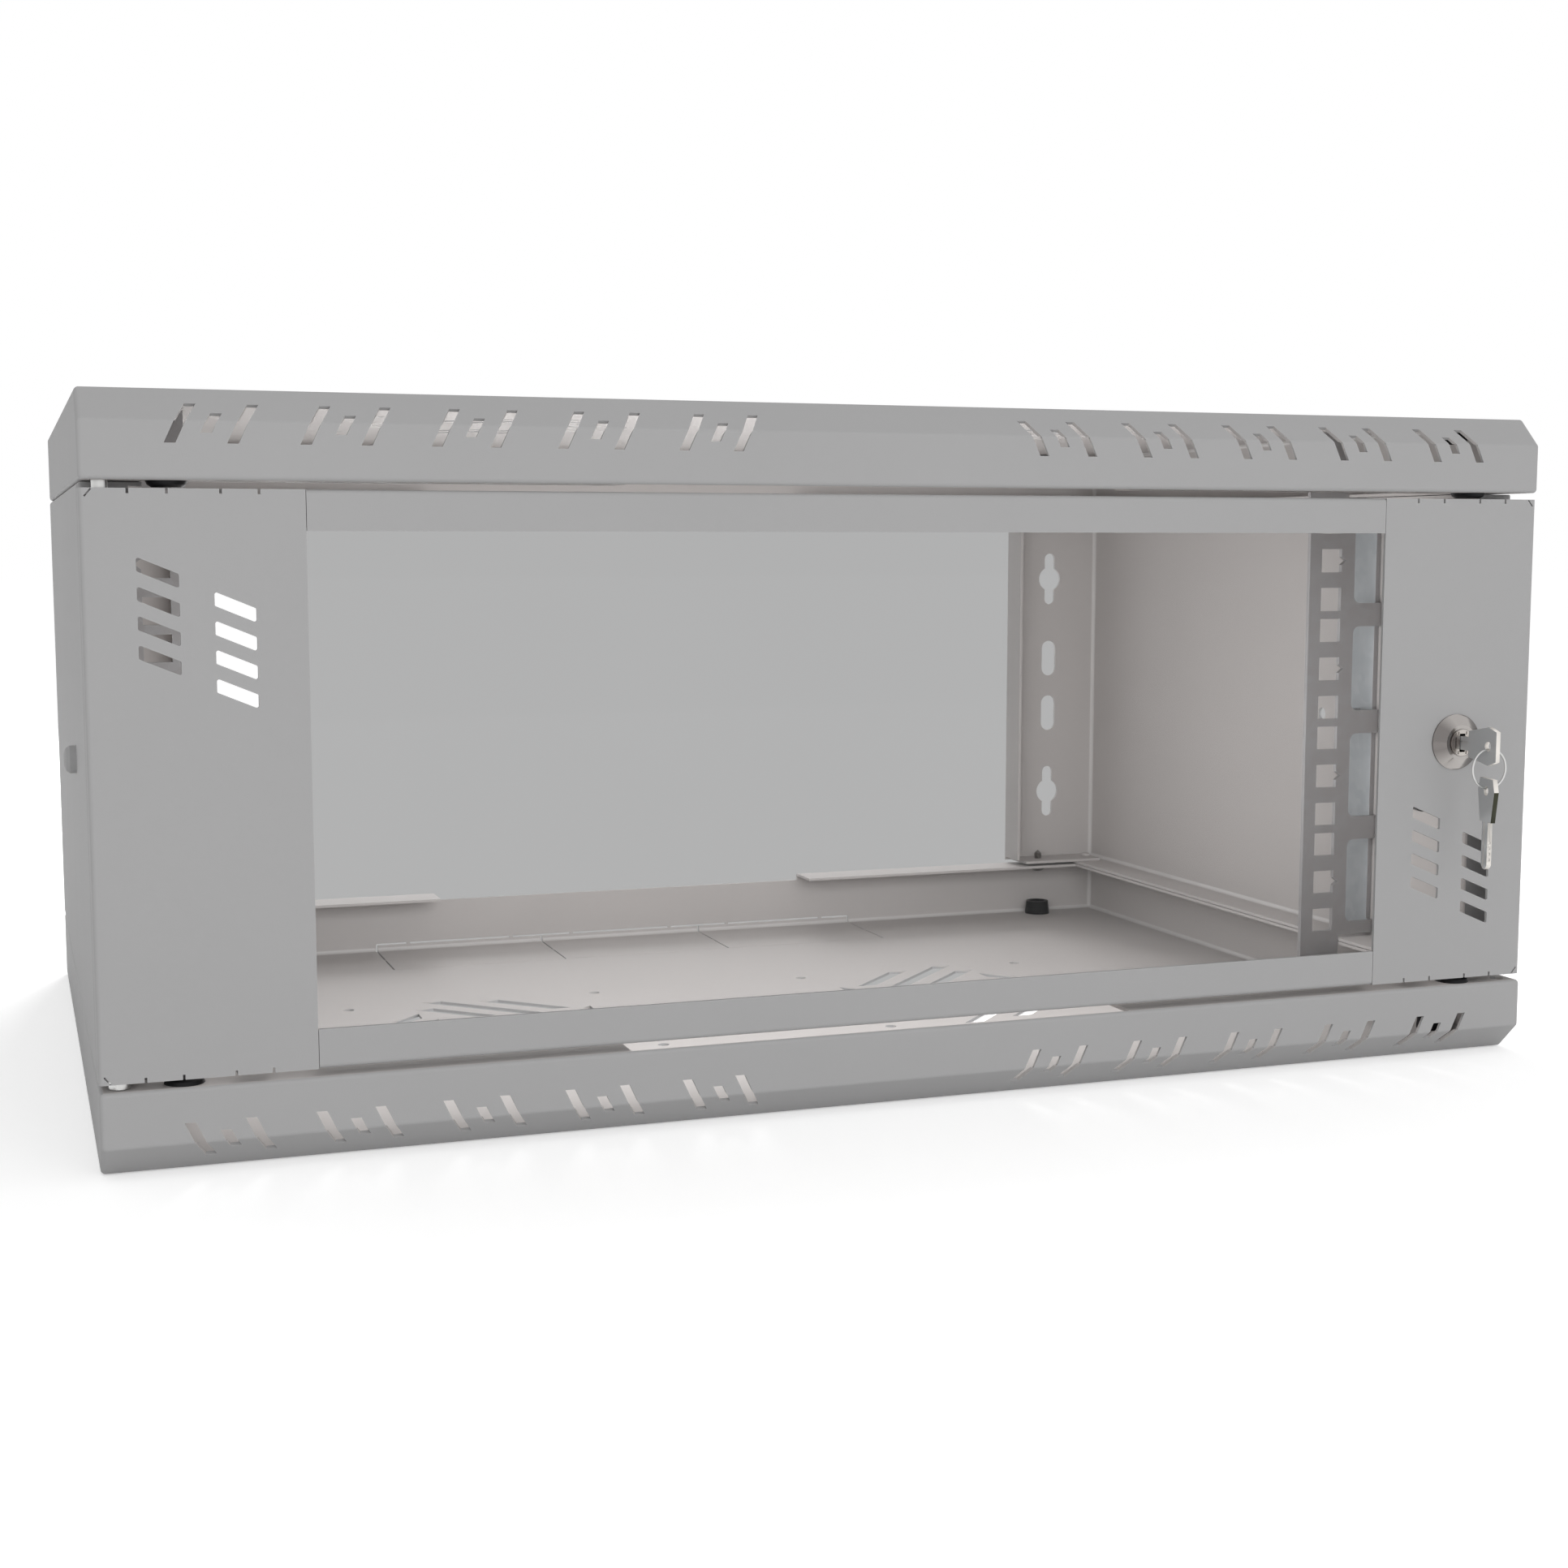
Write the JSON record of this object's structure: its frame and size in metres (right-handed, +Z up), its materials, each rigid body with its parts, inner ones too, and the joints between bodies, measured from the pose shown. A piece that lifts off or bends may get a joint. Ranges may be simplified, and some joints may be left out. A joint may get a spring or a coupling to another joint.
{
  "type": "wall rack cabinet",
  "caption": "Flat-pack wall cabinet for nineteen-inch equipment: folded panels, square-hole rack rails, vented hinged door with tinted glass, cam lock with keys.",
  "frame": {"origin": "middle of the rectangle that the bottom panel stands on", "axes": "+X to the lock side, +Y to the wall behind, +Z up"},
  "size_m": [0.5284, 0.3764, 0.24],
  "materials": {
    "casing": "fine grained powder coat",
    "galvanised": "galvanised sheet",
    "tinted_glass": "tinted, polished",
    "black_plastic": "moulded",
    "zinc_steel": "zinc plated",
    "lock_chrome": "polished",
    "key_steel": "nickel plated, worn",
    "tape_black": "foam tape"
  },
  "bodies": {
    "cabinet": {"bottom_panel": "casing", "top_panel": "casing", "side_panel_right": "casing", "side_panel_left": "casing", "rail_screws": "casing", "rack_rail_right": "galvanised", "rack_rail_left": "galvanised", "rail_nuts": "zinc_steel", "panel_screws_bottom": "zinc_steel", "panel_screws_top": "zinc_steel", "corner_rivets": "zinc_steel", "access_plugs_bottom": "black_plastic", "access_plugs_top": "black_plastic", "flange_plugs_bottom": "black_plastic", "flange_plugs_top": "black_plastic"},
    "door": {"door_wing_left": "casing", "door_wing_right": "casing", "door_bottom_rail": "casing", "door_top_rail": "casing", "door_glass": "tinted_glass", "glass_tape": "tape_black", "hinge_bracket_top": "galvanised", "hinge_bracket_bottom": "galvanised", "hinge_pin_bottom": "zinc_steel", "hinge_washer": "zinc_steel", "hinge_spring": "zinc_steel", "lock_housing": "lock_chrome", "lock_nut": "lock_chrome"},
    "top_pin": {"hinge_pin_top": "zinc_steel"},
    "lock": {"lock_cylinder": "lock_chrome", "lock_cam": "zinc_steel", "cam_screw": "zinc_steel"},
    "key": {"key": "key_steel"},
    "ring": {"key_ring": "key_steel"},
    "spare": {"spare_key": "key_steel"}
  },
  "joints": [
    {"name": "door_hinge", "type": "hinge", "parent": "cabinet", "child": "door", "pos_m": [-0.2537, -0.1691, 0.12], "axis": [0, 0, -1], "range_deg": [0, 180]},
    {"name": "hinge_pin_pull", "type": "slide", "parent": "door", "child": "top_pin", "axis": [0, 0, -1], "range_m": [0, 0.005], "stiffness_N_per_m": 400, "springref_m": -0.004, "deforming": ["hinge_spring"]},
    {"name": "lock_turn", "type": "hinge", "parent": "door", "child": "lock", "pos_m": [0.2274, -0.17, 0.12], "axis": [0, -1, 0], "range_deg": [0, 90]},
    {"name": "key_pull", "type": "slide", "parent": "lock", "child": "key", "axis": [0, -1, 0], "range_m": [0, 0.03]},
    {"name": "ring_swing", "type": "hinge", "parent": "key", "child": "ring", "pos_m": [0.2274, -0.1943, 0.119], "axis": [-1, 0, 0], "range_deg": [-8, 45]},
    {"name": "spare_key_swing", "type": "hinge", "parent": "ring", "child": "spare", "pos_m": [0.2274, -0.1943, 0.1046], "axis": [-1, 0, 0], "range_deg": [-8, 8]}
  ]
}
